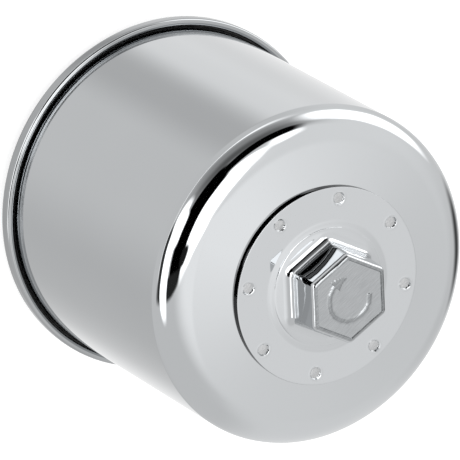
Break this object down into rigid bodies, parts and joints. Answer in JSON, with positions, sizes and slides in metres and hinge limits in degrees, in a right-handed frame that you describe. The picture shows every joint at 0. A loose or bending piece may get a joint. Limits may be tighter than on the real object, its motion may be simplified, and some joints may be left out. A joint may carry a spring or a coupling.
{
  "type": "spin-on oil filter",
  "caption": "Chromed spin-on engine oil filter with a rolled seam, threaded base, gasket, pleated element, bypass valve and a pressed hexagonal wrench nut on its end.",
  "frame": {"origin": "centre of the mounting gasket's sealing face, on the thread's axis", "axes": "+Z along the thread towards the wrench nut; +X through one of the nut plate's plug welds"},
  "size_m": [0.0762, 0.0762, 0.0817],
  "materials": {
    "chromed_steel": "polished chrome plate",
    "weld_metal": "plated over, slightly rough",
    "zinc_plated_steel": "bright zinc plate",
    "tinned_steel": "mill finish tinplate",
    "spring_steel": "oil tempered wire",
    "gasket_rubber": "matt moulded nitrile",
    "valve_rubber": "matt moulded nitrile",
    "sealing_compound": "cured compound",
    "potting": "cured plastisol",
    "filter_paper": "resin-treated fibre"
  },
  "bodies": {
    "filter": {"canister_shell": "chromed_steel", "seaming_lid": "chromed_steel", "nut_plate": "chromed_steel", "nut_welds": "weld_metal", "seam_compound": "sealing_compound", "lid_welds": "weld_metal", "base_plate": "zinc_plated_steel", "mounting_gasket": "gasket_rubber", "anti_drainback_valve": "valve_rubber", "lower_end_cap": "tinned_steel", "upper_end_cap": "tinned_steel", "lower_adhesive": "potting", "upper_adhesive": "potting", "center_tube": "tinned_steel", "filter_media": "filter_paper", "media_clip": "tinned_steel", "bypass_cage": "tinned_steel", "bypass_spring": "spring_steel", "element_spring": "spring_steel"},
    "bypass_valve": {"bypass_disc": "tinned_steel", "bypass_stem": "zinc_plated_steel", "bypass_seal": "valve_rubber"}
  },
  "joints": [
    {"name": "bypass_opening", "type": "slide", "parent": "filter", "child": "bypass_valve", "axis": [0, 0, -1], "range_m": [0, 0.004], "stiffness_N_per_m": 2000, "springref_m": -0.007, "deforming": ["bypass_spring"]}
  ]
}
